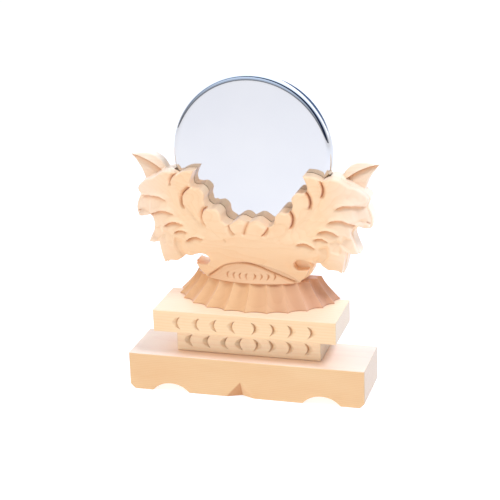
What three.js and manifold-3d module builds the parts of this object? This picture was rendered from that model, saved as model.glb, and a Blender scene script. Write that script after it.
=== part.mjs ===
// A small round metal mirror on a carved wooden cloud stand: a footed base bar, two stepped slabs,
// a fluted half-round skirt, and a holder of two glued boards whose slot the mirror stands in.
// Millimetres, +Z up, the front towards -Y. The origin is the middle of the base's underside.
import * as THREE from "three";
import { mergeVertices } from "three/addons/utils/BufferGeometryUtils.js";
import Module from "manifold-3d";

const wasm = await Module();
wasm.setup();

// ---- driving dimensions -------------------------------------------------------------------------

const BASE = { width: 113, depth: 30.8, height: 18.3 };
const BACK_Y = BASE.depth / 2; // every wooden piece is flush at the back
const GLUE_LINE = 0.05; // space between two glued faces

const LOWER_SLAB = { width: 69.3, depth: 23.3, height: 11.7 };
const UPPER_SLAB = { width: 87, depth: 30.4, height: 10.6 };
const SKIRT = { bottom: [39.3, 26.5], top: [30.2, 16.7], height: 10.9 }; // half axes along X and Y
const FLUTES = 12;
const FLUTE_DEPTH = 1.2;
const FLUTE_STEPS = 6;

const MIRROR = { radius: 37.5, thickness: 6.6, edge: 0.8, centreHeight: 110.4 };
const SLOT_GAP = 0.2; // free play before and behind the mirror
const SEAT_GAP = 0.3; // free play around the mirror's rim
const SLOT_BACK_WALL = 1.4;
const LIP = 8; // how far the rear wall of the slot overlaps the mirror
const FRONT_BOARD_THICKNESS = 9.2;

const DOWEL = { radius: 2.5, spread: 14, bottom: 8, top: 64, clearance: 0.1 };

// heights and depths that follow from them
const LOWER_SLAB_Z = BASE.height + GLUE_LINE;
const UPPER_SLAB_Z = LOWER_SLAB_Z + LOWER_SLAB.height + GLUE_LINE;
const SKIRT_Z = UPPER_SLAB_Z + UPPER_SLAB.height + GLUE_LINE;
const HOLDER_Z = SKIRT_Z + SKIRT.height + GLUE_LINE;
const SLOT_BACK_Y = BACK_Y - SLOT_BACK_WALL;
const MIRROR_Y = SLOT_BACK_Y - SLOT_GAP - MIRROR.thickness / 2;
const REAR_FRONT_Y = MIRROR_Y - MIRROR.thickness / 2 - SLOT_GAP;
const BOARD_BACK_Y = REAR_FRONT_Y - GLUE_LINE;
const BOARD_FRONT_Y = BOARD_BACK_Y - FRONT_BOARD_THICKNESS;
const MIRROR_HEIGHT = MIRROR.centreHeight - HOLDER_Z; // mirror centre above the holder's foot
const DOWEL_Y = (REAR_FRONT_Y + BACK_Y) / 2;

// ---- the base's lower edge ----------------------------------------------------------------------

const END_CHAMFER = 2.3;
const ARCH = { centre: 36.3, halfWidth: 8.9, height: 4 };
// The cusp is set a little to the left, by hand.
const CUSP = { x: -2.4, left: 7.2, right: 7.8, height: 8, depth: 3.3 };

// ---- the carved outlines: right half, [x, height above the holder's foot] ----------------------
// Each list is one smooth stretch, and the outline turns sharply between one list and the next.

const FOOT_HALF_WIDTH = 22.4;

const LOBE_EDGE = [
  [[0, 29.1], [4.3, 30.6], [8.9, 27.7]],
  [[8.9, 27.7], [12.3, 29.6], [13, 33.1], [15.3, 35.2], [18.2, 34.9], [20.4, 36.3]],
  [[20.4, 36.3], [21, 38.6], [20.6, 41.8], [22.7, 44.2], [25.2, 44.2], [27.1, 44.6]],
  [[27.1, 44.6], [27.6, 46.8], [26.9, 49.4], [25.6, 52.2]],
  [[25.6, 52.2], [29.4, 52.1], [32.2, 51.1], [34.2, 49.8]],
];
const SHOULDER = [
  [[34.2, 49.8], [36.2, 50.8], [38.6, 51.1], [42, 50.3], [46, 47.6], [49.4, 46.6], [52.2, 44.6]],
];
const LEAF_EDGE = [
  [[52.2, 44.6], [54.4, 43], [55.2, 41.1], [54.3, 37.9]],
  [[54.3, 37.9], [56, 34], [56.5, 30.4], [55.6, 27.7], [53.2, 27.3], [50.4, 28.2]],
  [[50.4, 28.2], [48.4, 26.6], [47.3, 24], [48.4, 20], [50.6, 15]],
  [[50.6, 15], [47.8, 14.8], [44.9, 15.6]],
  [[44.9, 15.6], [44, 10.6], [42.6, 4.9]],
  [[42.6, 4.9], [40.6, 6.2], [38.4, 6.6], [36.2, 6.8], [34.2, 8.4], [32.2, 10.2]],
  [[32.2, 10.2], [30.4, 10.4], [28.6, 10.8]],
];
const LEAF_MIDDLE = [40, 34];
const FRONT_TIP_INSET = 1.1; // the front board's leaf tips stop short of the rear board's
const FRONT_NOTCH = [
  [[28.6, 10.8], [26.2, 11.8], [23.6, 12.2], [21.2, 11.3], [20, 9], [21.4, 6.8], [24, 6.4], [27, 6.9]],
  [[27, 6.9], [25.6, 3.6], [FOOT_HALF_WIDTH, 0]],
];
const REAR_NOTCH = [
  [[28.6, 10.8], [27, 10.2], [26.2, 9.2], [28.2, 6.6]],
  [[28.2, 6.6], [27, 3.4], [FOOT_HALF_WIDTH + 0.4, 0]],
];
// The rear board's left notch is carved deeper than its right one.
const REAR_LEFT_BAY = [
  [-29, 10.8], [-25.6, 10.5], [-23, 9.9], [-21.4, 8.4],
  [-21.8, 6.4], [-24.4, 5.7], [-27.2, 6.3], [-29.6, 7.4],
];
const HORN_EDGE = [
  [[41.6, 50.3], [44, 53.9], [48.2, 56.7], [53.4, 57.3], [58.9, 56.5]],
  [[58.9, 56.5], [56.2, 53], [53.8, 49.2], [52.2, 44.6]],
];
const HORN_FRONT_Y = REAR_FRONT_Y + 2.8;

// The front board's face: how far forward it stands, by height and by distance from the middle.
const FACE_BY_HEIGHT = [[0, 4.4], [1, 4.4], [9, 2.2], [17, -0.4], [24, BOARD_FRONT_Y]];
const FACE_BY_WIDTH = [[0, BOARD_FRONT_Y], [16, BOARD_FRONT_Y], [27, 0.4], [40, 1.6], [50, 4.2], [60, 6.4]];
const FOOT_PANEL = { rise: 12, shrink: 0.7 }; // the bulging foot is a cone on the skirt's top edge

// Gouge cuts: the chord's two ends, how far the inner arc bows, the cut's width and its depth.
// Under each leaf finger the wall stands along the outer arc, beside each lobe along the inner one.
const FINGER_CUTS = [
  { from: [40.4, 37.4], to: [48.2, 38.4], bow: 0.1, width: 1.2, depth: 0.9 },
  { from: [37.2, 31.1], to: [44.8, 31.3], bow: 0.1, width: 1.2, depth: 1 },
  { from: [34.2, 26.4], to: [42, 25.2], bow: 0.1, width: 1.6, depth: 1.1 },
  { from: [29.6, 22.2], to: [36.9, 21.6], bow: 0.1, width: 1.5, depth: 0.9 },
  { from: [22.4, 19.6], to: [30.8, 18.5], bow: 0.1, width: 1.6, depth: 1.1 },
];
const LOBE_CUTS = [
  { from: [34, 50], to: [35, 42.4], bow: 0.6, width: 1.6, depth: 1.4 },
  { from: [27.1, 44.6], to: [28.8, 36.4], bow: 2, width: 1.8, depth: 1.8 },
  { from: [19, 35.8], to: [19.4, 27.2], bow: 2, width: 1.8, depth: 1.8 },
  { from: [8.9, 27.8], to: [6.2, 23.6], bow: 0.8, width: 1.2, depth: 1.2 },
];
const HORN_CREASE = { from: [43.6, 49.6], to: [57, 56.6], bow: 1.4, width: 1.3, depth: 0.8 };

const CRESCENT = { chord: 5.8, bow: 1.4, width: 1.5, depth: 1.3 };
const CRESCENTS_UPPER = [5.2, 13.9, 22.3, 31.7];
const CRESCENTS_LOWER = [3.9, 11, 19.7, 28.3];
const CRESCENT_SCALE_PANEL = 0.5;
const CRESCENTS_PANEL = { x: [1.9, 5, 8.1, 11.2], height: 3 };

const CURVE_STEPS = 4; // points per outline point on a smooth stretch
const CUT_STEPS = 10;
const ROUND_STEPS = 96;
const DOWEL_STEPS = 24;
const OVERCUT = 3; // how far a cutter reaches beyond the wood

// ---- solids -------------------------------------------------------------------------------------

function solidFrom(geometry) {
  const bare = geometry.clone();
  bare.deleteAttribute("normal");
  bare.deleteAttribute("uv");
  const merged = mergeVertices(bare, 1e-4);
  const vertProperties = merged.attributes.position.array;
  const triVerts = new Uint32Array(merged.index.array);
  return new wasm.Manifold(new wasm.Mesh({ numProp: 3, vertProperties, triVerts }));
}

function geometryFrom(solid) {
  const { vertProperties, triVerts, numProp } = solid.getMesh();
  const positions = new Float32Array((vertProperties.length / numProp) * 3);
  for (let vertex = 0; vertex < positions.length / 3; vertex += 1) {
    positions.set(vertProperties.subarray(vertex * numProp, vertex * numProp + 3), vertex * 3);
  }
  const geometry = new THREE.BufferGeometry();
  geometry.setAttribute("position", new THREE.BufferAttribute(positions, 3));
  geometry.setIndex(new THREE.BufferAttribute(triVerts, 1));
  geometry.computeVertexNormals();
  return geometry;
}

function cutAway(geometry, cutters) {
  return cutters.reduce((solid, cutter) => solid.subtract(solidFrom(cutter)), solidFrom(geometry));
}

// An XZ outline made into a plate between two depths.
function plate(shape, frontY, backY) {
  const depth = backY - frontY;
  const geometry = new THREE.ExtrudeGeometry(shape, { depth, bevelEnabled: false, curveSegments: 12 });
  return geometry.rotateX(Math.PI / 2).translate(0, backY, 0);
}

function block(size, frontY, backY, z) {
  const geometry = new THREE.BoxGeometry(size.width, backY - frontY, size.height);
  return geometry.translate(0, (frontY + backY) / 2, z + size.height / 2);
}

function dowelHole(side, bottom, top) {
  const radius = DOWEL.radius + DOWEL.clearance;
  const geometry = new THREE.CylinderGeometry(radius, radius, top - bottom, DOWEL_STEPS);
  return geometry.rotateX(Math.PI / 2).translate(side * DOWEL.spread, DOWEL_Y, (bottom + top) / 2);
}

// The two dowel holes, in the frame of a piece that stands at pieceZ.
function dowelHoles(pieceZ) {
  const bottom = DOWEL.bottom - DOWEL.clearance - pieceZ;
  const top = DOWEL.top + DOWEL.clearance - pieceZ;
  return [-1, 1].map((side) => dowelHole(side, bottom, top));
}

// ---- outlines -----------------------------------------------------------------------------------

const toVector = ([x, z]) => new THREE.Vector2(x, z);

function tracedPoints(stretches) {
  return stretches.flatMap((stretch, index) => {
    const curve = new THREE.SplineCurve(stretch.map(toVector));
    const points = curve.getPoints(CURVE_STEPS * (stretch.length - 1));
    return index ? points.slice(1) : points;
  });
}

// The half outline with its leaf tips moved towards the leaf's middle, but not its shoulder or notch.
function withTipsDrawnIn(points) {
  const middle = toVector(LEAF_MIDDLE);
  const [, shoulderHeight] = SHOULDER[0].at(-1);
  const [notchX] = FRONT_NOTCH[0][0];
  return points.map((point) => {
    const fromShoulder = THREE.MathUtils.clamp((shoulderHeight - point.y) / 5, 0, 1);
    const fromNotch = THREE.MathUtils.clamp((point.x - notchX) / 12, 0, 1);
    const inwards = middle.clone().sub(point).setLength(FRONT_TIP_INSET * fromShoulder * fromNotch);
    return point.clone().add(inwards);
  });
}

// A closed outline from its right half, which starts and ends anywhere at or beside the middle line.
function mirroredShape(half) {
  const left = half.filter((point) => point.x > 0).map((point) => new THREE.Vector2(-point.x, point.y));
  return new THREE.Shape([...half, ...left.reverse()]);
}

// How far back the face lies at a distance or height, between the points of a face line.
function faceAt(line, place) {
  const next = Math.max(line.findIndex(([at]) => at >= place), 1);
  const [[at0, y0], [at1, y1]] = [line[next - 1], line[next]];
  return THREE.MathUtils.mapLinear(place, at0, at1, y0, y1);
}

// ---- gouge cuts ---------------------------------------------------------------------------------

// A crescent cutter on a face that looks along +Z: the chord lies along X, the cut bows towards +Y.
// Its wall stands along one of the two arcs, and its floor rises from there to the other arc.
function crescentCutter({ chord, bow, width, depth, wallOutside }) {
  const shape = new THREE.Shape();
  shape.moveTo(-chord / 2, 0);
  shape.quadraticCurveTo(0, 2 * (bow + width), chord / 2, 0);
  shape.quadraticCurveTo(0, 2 * bow, -chord / 2, 0);
  const geometry = new THREE.ExtrudeGeometry(shape, {
    depth: OVERCUT,
    bevelEnabled: false,
    curveSegments: CUT_STEPS,
  });
  const position = geometry.attributes.position;
  for (let i = 0; i < position.count; i += 1) {
    if (position.getZ(i) > 0) continue;
    const fullness = 1 - (2 * position.getX(i) / chord) ** 2;
    const across = fullness > 1e-6 ? (position.getY(i) / fullness - bow) / width : 0;
    const fall = wallOutside ? across : 1 - across;
    position.setZ(i, -depth * Math.sqrt(Math.max(fullness, 0)) * fall - 1e-3);
  }
  return geometry;
}

// The cutter laid on a face that looks towards -Y, its chord running between two [x, z] points.
// The cut bows to the left of that direction as seen from the front.
function cutOnFront({ from, to, ...size }, faceY) {
  const start = new THREE.Vector3(from[0], faceY(...from), from[1]);
  const end = new THREE.Vector3(to[0], faceY(...to), to[1]);
  const along = end.clone().sub(start).normalize();
  const outward = new THREE.Vector3(0, -1, 0).addScaledVector(along, along.y).normalize();
  const sideways = outward.clone().cross(along);
  const placed = new THREE.Matrix4().makeBasis(along, sideways, outward);
  placed.setPosition(start.add(end).multiplyScalar(0.5));
  const chord = Math.hypot(to[0] - from[0], to[1] - from[1]);
  return crescentCutter({ chord, ...size }).applyMatrix4(placed);
}

const flipped = (cut) => ({ ...cut, from: [-cut.to[0], cut.to[1]], to: [-cut.from[0], cut.from[1]] });

// A row of upright crescents on each side of the middle, their hollows turned outwards.
function crescentRow(places, height, faceY, scale = 1) {
  const { chord, bow, width, depth } = CRESCENT;
  const size = { bow: bow * scale, width: width * scale, depth: depth * scale };
  const half = (chord / 2) * scale;
  const right = places.map((x) => {
    const inner = x - bow * scale;
    return { from: [inner, height + half], to: [inner, height - half], ...size };
  });
  return [...right, ...right.map(flipped)].map((cut) => cutOnFront(cut, faceY));
}

// ---- the stepped stand --------------------------------------------------------------------------

function baseShape() {
  const half = BASE.width / 2;
  const shape = new THREE.Shape();
  shape.moveTo(-half, BASE.height);
  shape.lineTo(-half, END_CHAMFER);
  shape.lineTo(-half + END_CHAMFER, 0);
  arch(shape, -ARCH.centre);
  arch(shape, ARCH.centre);
  shape.lineTo(half - END_CHAMFER, 0);
  shape.lineTo(half, END_CHAMFER);
  shape.lineTo(half, BASE.height);
  return shape;
}

// A low arch in the lower edge: straight flanks into a round crown.
function arch(shape, centre) {
  const { halfWidth, height } = ARCH;
  const crown = halfWidth * 0.6;
  shape.lineTo(centre - halfWidth, 0);
  shape.quadraticCurveTo(centre - crown, height, centre, height);
  shape.quadraticCurveTo(centre + crown, height, centre + halfWidth, 0);
}

// The cusp is a chip cut up into the front's lower edge: two slopes that meet in a valley, which is
// deepest at the lower edge and closes to a point above. The cutter goes 1 mm beyond the wood.
function cuspCutter() {
  const { x, left, right, height, depth } = CUSP;
  const spread = 1 + 1 / height + 1 / depth;
  const corners = [
    [x, -1, height * (1 + 1 / depth)],
    [x, depth * (1 + 1 / height), -1],
    [x - left * spread, -1, -1],
    [x + right * spread, -1, -1],
  ];
  const geometry = new THREE.BufferGeometry();
  geometry.setAttribute("position", new THREE.Float32BufferAttribute(corners.flat(), 3));
  geometry.setIndex([0, 2, 3, 2, 1, 3, 0, 1, 2, 0, 3, 1]);
  return geometry.translate(0, -BACK_Y, 0);
}

function baseSolid() {
  return cutAway(plate(baseShape(), -BACK_Y, BACK_Y), [...dowelHoles(0), cuspCutter()]);
}

function slabSolid(slab, z, places) {
  const frontY = BACK_Y - slab.depth;
  const crescents = crescentRow(places, slab.height / 2 - 0.4, () => frontY);
  return cutAway(block(slab, frontY, BACK_Y, 0), [...dowelHoles(z), ...crescents]);
}

// The skirt is a flared half ellipse: ridges at equal steps of its angle, hollow flutes between them.
function skirtSolid() {
  const turns = 2 * FLUTES;
  const tube = new THREE.CylinderGeometry(1, 1, SKIRT.height, turns * FLUTE_STEPS, 5);
  tube.rotateX(Math.PI / 2).translate(0, 0, SKIRT.height / 2);
  const position = tube.attributes.position;
  for (let i = 0; i < position.count; i += 1) {
    const angle = Math.atan2(position.getY(i), position.getX(i));
    const radius = Math.hypot(position.getX(i), position.getY(i));
    const place = THREE.MathUtils.euclideanModulo((angle / (2 * Math.PI)) * turns, 1);
    const hollow = FLUTE_DEPTH * 4 * place * (1 - place) * radius;
    const rise = 1 - (1 - position.getZ(i) / SKIRT.height) ** 1.25;
    const wide = THREE.MathUtils.lerp(SKIRT.bottom[0], SKIRT.top[0], rise) - hollow;
    const deep = THREE.MathUtils.lerp(SKIRT.bottom[1], SKIRT.top[1], rise) - hollow;
    position.setX(i, Math.cos(angle) * radius * wide);
    position.setY(i, Math.sin(angle) * radius * deep);
  }
  tube.translate(0, BACK_Y, 0);
  const behind = new THREE.BoxGeometry(100, 60, 40).translate(0, BACK_Y + 30, 0);
  return cutAway(tube, [behind, ...dowelHoles(SKIRT_Z)]);
}

// ---- the carved holder --------------------------------------------------------------------------

const boardFaceY = (x, z) =>
  Math.max(faceAt(FACE_BY_WIDTH, Math.abs(x)), z < 24 ? faceAt(FACE_BY_HEIGHT, z) : BOARD_FRONT_Y);

// What is carved away in front of the board's face, where the face leans with height.
function wasteByHeight() {
  const shape = new THREE.Shape();
  const front = BOARD_FRONT_Y - OVERCUT;
  shape.moveTo(front, -OVERCUT);
  shape.lineTo(FACE_BY_HEIGHT[0][1], -OVERCUT);
  FACE_BY_HEIGHT.forEach(([height, y]) => shape.lineTo(y, height));
  shape.lineTo(front, FACE_BY_HEIGHT.at(-1)[0]);
  const length = 140;
  const geometry = new THREE.ExtrudeGeometry(shape, { depth: length, bevelEnabled: false });
  // the shape's x and y become Y and Z, and its depth becomes X
  const turned = new THREE.Matrix4().set(0, 0, 1, -length / 2, 1, 0, 0, 0, 0, 1, 0, 0, 0, 0, 0, 1);
  return geometry.applyMatrix4(turned);
}

// What is carved away where the face falls back towards the tips of the leaves.
function wasteByWidth() {
  const front = BOARD_FRONT_Y - OVERCUT;
  const right = FACE_BY_WIDTH.slice(1);
  const left = [...right].reverse().map(([x, y]) => [-x, y]);
  const points = [...left, ...right, [right.at(-1)[0], front], [-right.at(-1)[0], front]];
  const shape = new THREE.Shape(points.map(toVector));
  const geometry = new THREE.ExtrudeGeometry(shape, { depth: 80, bevelEnabled: false });
  return geometry.translate(0, 0, -OVERCUT);
}

// The foot's bulging front: a cone that stands on the skirt's top edge, in front of the face only.
function footPanel() {
  const { rise, shrink } = FOOT_PANEL;
  const cone = new THREE.CylinderGeometry(shrink, 1, rise, ROUND_STEPS, 1);
  cone.rotateX(Math.PI / 2).scale(SKIRT.top[0], SKIRT.top[1], 1).translate(0, BACK_Y, rise / 2);
  const keep = new THREE.BoxGeometry(2 * FOOT_HALF_WIDTH - 0.4, BOARD_BACK_Y + 20, 40);
  keep.translate(0, (BOARD_BACK_Y - 20) / 2, 0);
  return solidFrom(cone).intersect(solidFrom(keep));
}

function panelFaceY(x, z) {
  const shrink = 1 - (1 - FOOT_PANEL.shrink) * (z / FOOT_PANEL.rise);
  return BACK_Y - shrink * SKIRT.top[1] * Math.sqrt(1 - (x / (shrink * SKIRT.top[0])) ** 2);
}

function frontBoardSolid() {
  const half = withTipsDrawnIn(tracedPoints([...LOBE_EDGE, ...SHOULDER, ...LEAF_EDGE, ...FRONT_NOTCH]));
  const blank = plate(mirroredShape(half), BOARD_FRONT_Y, BOARD_BACK_Y);
  const faced = cutAway(blank, [wasteByHeight(), wasteByWidth()]).add(footPanel());
  const right = [...FINGER_CUTS.map((cut) => ({ ...cut, wallOutside: true })), ...LOBE_CUTS];
  const cuts = [...right, ...right.map(flipped)].map((cut) => cutOnFront(cut, boardFaceY));
  const marks = crescentRow(
    CRESCENTS_PANEL.x, CRESCENTS_PANEL.height, panelFaceY, CRESCENT_SCALE_PANEL,
  );
  return [...cuts, ...marks].reduce((solid, cutter) => solid.subtract(solidFrom(cutter)), faced);
}

// The rear board: its upper edge is the slot's rear wall, and a horn rises from each shoulder.
function rearBoardShape() {
  const lipRadius = MIRROR.radius - LIP;
  const shoulderHeight = LOBE_EDGE.at(-1).at(-1)[1];
  const lip = new THREE.Path();
  const turn = Math.acos((MIRROR_HEIGHT - shoulderHeight) / lipRadius);
  lip.absarc(0, MIRROR_HEIGHT, lipRadius, -Math.PI / 2, -Math.PI / 2 + turn, false);
  const shoulder = [[34.2, shoulderHeight], [36.2, 50.8], [38.6, 51.1], [41.6, 50.3]];
  const edge = tracedPoints([shoulder, ...HORN_EDGE, ...LEAF_EDGE, ...REAR_NOTCH]);
  return mirroredShape([...lip.getPoints(24), ...edge]);
}

// The horns are thinner than the board: their fronts stand back from its face.
function hornWaste(side) {
  const outline = [[40.6, 51.4], [46, 47.9], [52.2, 44.9], [62, 44.9], [62, 62], [40.6, 62]];
  const shape = new THREE.Shape(outline.map(([x, z]) => new THREE.Vector2(side * x, z)));
  return plate(shape, REAR_FRONT_Y - OVERCUT, HORN_FRONT_Y);
}

function mirrorPocket() {
  const radius = MIRROR.radius + SEAT_GAP;
  const depth = SLOT_BACK_Y - REAR_FRONT_Y + OVERCUT;
  const pocket = new THREE.CylinderGeometry(radius, radius, depth, ROUND_STEPS);
  return pocket.translate(0, SLOT_BACK_Y - depth / 2, MIRROR_HEIGHT);
}

function rearBoardSolid() {
  const board = plate(rearBoardShape(), REAR_FRONT_Y, BACK_Y);
  const creases = [HORN_CREASE, flipped(HORN_CREASE)].map((cut) => cutOnFront(cut, () => HORN_FRONT_Y));
  const bayPoints = new THREE.SplineCurve(REAR_LEFT_BAY.map(toVector)).getPoints(20);
  const bay = plate(new THREE.Shape(bayPoints), REAR_FRONT_Y - OVERCUT, BACK_Y + OVERCUT);
  const wastes = [hornWaste(-1), hornWaste(1), mirrorPocket(), bay];
  return cutAway(board, [...wastes, ...dowelHoles(HOLDER_Z), ...creases]);
}

// ---- the mirror and the dowels ------------------------------------------------------------------

function mirrorGeometry() {
  const { radius, thickness, edge } = MIRROR;
  const half = thickness / 2;
  const profile = new THREE.Path();
  profile.moveTo(0, -half);
  profile.lineTo(radius - edge, -half);
  profile.absarc(radius - edge, -half + edge, edge, -Math.PI / 2, 0, false);
  profile.absarc(radius - edge, half - edge, edge, 0, Math.PI / 2, false);
  profile.lineTo(0, half);
  return new THREE.LatheGeometry(profile.getPoints(2), ROUND_STEPS);
}

function dowelGeometry() {
  const length = DOWEL.top - DOWEL.bottom;
  const { radius } = DOWEL;
  return new THREE.CylinderGeometry(radius, radius, length, DOWEL_STEPS).rotateX(Math.PI / 2);
}

// ---- assembly -----------------------------------------------------------------------------------

const paleWood = new THREE.MeshStandardMaterial({ color: 0xf3d0a6, roughness: 0.62, metalness: 0 });
const warmWood = new THREE.MeshStandardMaterial({ color: 0xdcae80, roughness: 0.66, metalness: 0 });
const dowelWood = new THREE.MeshStandardMaterial({ color: 0xcfa878, roughness: 0.7, metalness: 0 });
const polished = new THREE.MeshStandardMaterial({ color: 0xeef1f6, roughness: 0.04, metalness: 1 });

function named(name, geometry, material, place = [0, 0, 0]) {
  const mesh = new THREE.Mesh(geometry, material);
  mesh.name = name;
  mesh.position.set(...place);
  return mesh;
}

const stand = new THREE.Group();
const lowerSlab = slabSolid(LOWER_SLAB, LOWER_SLAB_Z, CRESCENTS_LOWER);
const upperSlab = slabSolid(UPPER_SLAB, UPPER_SLAB_Z, CRESCENTS_UPPER);
stand.add(
  named("base", geometryFrom(baseSolid()), paleWood),
  named("lower_slab", geometryFrom(lowerSlab), paleWood, [0, 0, LOWER_SLAB_Z]),
  named("upper_slab", geometryFrom(upperSlab), paleWood, [0, 0, UPPER_SLAB_Z]),
  named("fluted_skirt", geometryFrom(skirtSolid()), warmWood, [0, 0, SKIRT_Z]),
);
const dowelZ = (DOWEL.bottom + DOWEL.top) / 2;
[["dowel_left", -1], ["dowel_right", 1]].forEach(([name, side]) => {
  stand.add(named(name, dowelGeometry(), dowelWood, [side * DOWEL.spread, DOWEL_Y, dowelZ]));
});

const holder = new THREE.Group();
holder.position.z = HOLDER_Z;
holder.add(
  named("front_board", geometryFrom(frontBoardSolid()), paleWood),
  named("rear_board", geometryFrom(rearBoardSolid()), paleWood),
  named("mirror", mirrorGeometry(), polished, [0, MIRROR_Y, MIRROR_HEIGHT]),
);

const group = new THREE.Group();
group.add(stand, holder);
export default group;
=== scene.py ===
"""Looks of a round metal mirror on its carved cloud stand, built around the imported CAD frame.

Shapes are worked out in millimetres in the frame's axes (X right, front towards -Y, Z up) and
turned into metres when a mesh is made. Each carved wooden piece is one sheet of points over its
outline, given a front depth and a back depth, and closed by its edge.
"""

import math

import bpy
import numpy as np
from mathutils import Matrix, Vector
from mathutils.geometry import delaunay_2d_cdt
from mathutils.kdtree import KDTree


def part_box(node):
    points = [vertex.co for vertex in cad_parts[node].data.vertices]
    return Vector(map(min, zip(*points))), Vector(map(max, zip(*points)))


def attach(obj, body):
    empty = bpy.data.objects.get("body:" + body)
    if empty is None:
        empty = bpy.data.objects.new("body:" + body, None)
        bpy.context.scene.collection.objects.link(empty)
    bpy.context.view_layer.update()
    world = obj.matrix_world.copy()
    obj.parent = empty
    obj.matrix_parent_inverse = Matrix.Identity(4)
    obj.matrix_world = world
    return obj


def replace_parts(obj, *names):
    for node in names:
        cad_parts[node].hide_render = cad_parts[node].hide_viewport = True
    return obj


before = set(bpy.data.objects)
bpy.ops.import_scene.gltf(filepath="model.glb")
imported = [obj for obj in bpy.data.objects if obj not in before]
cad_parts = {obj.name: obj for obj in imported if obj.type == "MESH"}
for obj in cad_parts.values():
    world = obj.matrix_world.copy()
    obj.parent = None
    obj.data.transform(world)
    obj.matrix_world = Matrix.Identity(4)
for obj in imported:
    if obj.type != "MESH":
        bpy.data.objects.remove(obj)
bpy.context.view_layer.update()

MM = 0.001
SHARP = math.radians(48)  # edges that turn more than this are shaded sharp


def node_box(node):
    """A CAD node's lowest and highest corners at rest, in mm."""
    low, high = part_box(node)
    return np.array(low) / MM, np.array(high) / MM


# ---- curves in the XZ plane ----------------------------------------------------------------------

def eased(points, spacing):
    """A smooth curve through the points of an open line, with a point about every `spacing` mm."""
    points = np.asarray(points, float)
    steps_between = np.diff(points, axis=0)
    lengths = np.linalg.norm(steps_between, axis=1)
    headings = steps_between / lengths[:, None]
    # an inner point's heading lies between those of the steps on its two sides
    share = (lengths[:-1] / (lengths[:-1] + lengths[1:]))[:, None]
    bends = headings[:-1] * (1 - share) + headings[1:] * share
    headings = np.concatenate([headings[:1], bends, headings[-1:]])
    made = []
    for i, length in enumerate(lengths):
        steps = max(1, round(length / spacing))
        t = (np.arange(steps) / steps)[:, None]
        made.append(
            (2 * t**3 - 3 * t**2 + 1) * points[i] + (t**3 - 2 * t**2 + t) * length * headings[i]
            + (3 * t**2 - 2 * t**3) * points[i + 1] + (t**3 - t**2) * length * headings[i + 1]
        )
    return np.concatenate([*made, points[-1:]])


def turn_angles(loop):
    """How sharply a closed loop turns at each point, in degrees."""
    along = np.roll(loop, -1, 0) - loop
    heading = np.arctan2(along[:, 1], along[:, 0])
    turn = heading - np.roll(heading, 1)
    return np.abs(np.degrees((turn + np.pi) % (2 * np.pi) - np.pi))


def smoothed_outline(loop, corner, spacing, rounding):
    """The loop with its corners rounded a little and smooth curves between them. A corner is where
    it turns by more than `corner` degrees."""
    corners = np.flatnonzero(turn_angles(loop) > corner)
    stretches = []
    for here, there in zip(corners, np.roll(corners, -1)):
        count = (there - here) % len(loop) or len(loop)
        stretch = loop[(here + np.arange(count + 1)) % len(loop)]
        stretches.append(eased(stretch, spacing))
    made = []
    for index, stretch in enumerate(stretches):
        inner = stretch[1:-1]
        ahead = stretches[(index + 1) % len(stretches)]
        vertex = stretch[-1]
        arrive, leave = stretch[-2] - vertex, ahead[1] - vertex
        start = vertex + arrive * min(1, rounding / np.linalg.norm(arrive))
        end = vertex + leave * min(1, rounding / np.linalg.norm(leave))
        bend = [(1 - t) ** 2 * start + 2 * t * (1 - t) * vertex + t * t * end for t in (0, 0.5, 1)]
        made += [inner[np.linalg.norm(inner - vertex, axis=1) > rounding * 1.2], np.array(bend)]
    loop = np.concatenate(made)
    far = np.linalg.norm(loop - np.roll(loop, 1, 0), axis=1) > 0.02
    return loop[far]


def back_outline(node):
    """The closed XZ outline of a CAD node's flat back, anticlockwise as [x, z] in mm."""
    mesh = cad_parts[node].data
    points = [tuple(round(value / MM, 3) for value in vertex.co) for vertex in mesh.vertices]
    back = max(y for _, y, _ in points)
    edges = set()
    for face in mesh.polygons:
        corners = [points[i] for i in face.vertices]
        if all(y > back - 0.01 for _, y, _ in corners):
            flat = [(x, z) for x, _, z in corners]
            edges.update(zip(flat, flat[1:] + flat[:1]))
    follow = {a: b for a, b in edges if (b, a) not in edges}
    start = min(follow)
    loop = [start]
    while follow[loop[-1]] != start:
        loop.append(follow[loop[-1]])
    loop = np.array(loop)
    after = np.roll(loop, -1, 0)
    area = np.sum(loop[:, 0] * after[:, 1] - after[:, 0] * loop[:, 1])
    return loop if area > 0 else loop[::-1]


def beside(points, line):
    """For each point: its distance from an open line, positive on the line's left, and how far
    along the line its nearest place is, from 0 to 1."""
    best = np.full(len(points), np.inf)
    signed = np.zeros(len(points))
    place = np.zeros(len(points))
    lengths = np.linalg.norm(np.diff(line, axis=0), axis=1)
    run = np.concatenate([[0], np.cumsum(lengths)])
    for start, end, length, before in zip(line, line[1:], lengths, run):
        along = (end - start) / length
        offset = points - start
        t = np.clip(offset @ along, 0, length)
        gap = np.linalg.norm(offset - t[:, None] * along, axis=1)
        side = np.sign(along[0] * offset[:, 1] - along[1] * offset[:, 0])
        nearer = gap < best
        best = np.where(nearer, gap, best)
        signed = np.where(nearer, gap * side, signed)
        place = np.where(nearer, (before + t) / run[-1], place)
    return signed, place


def smooth(t):
    t = np.clip(t, 0, 1)
    return t * t * (3 - 2 * t)


# ---- carved sheets -------------------------------------------------------------------------------

ROW_SHARE = 0.87  # how far apart the rows of points are, as a share of the pitch along them
RINGS = (0.1, 0.28, 0.52)  # how far inside the outline the rings of points lie, for the rounded edge


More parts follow.
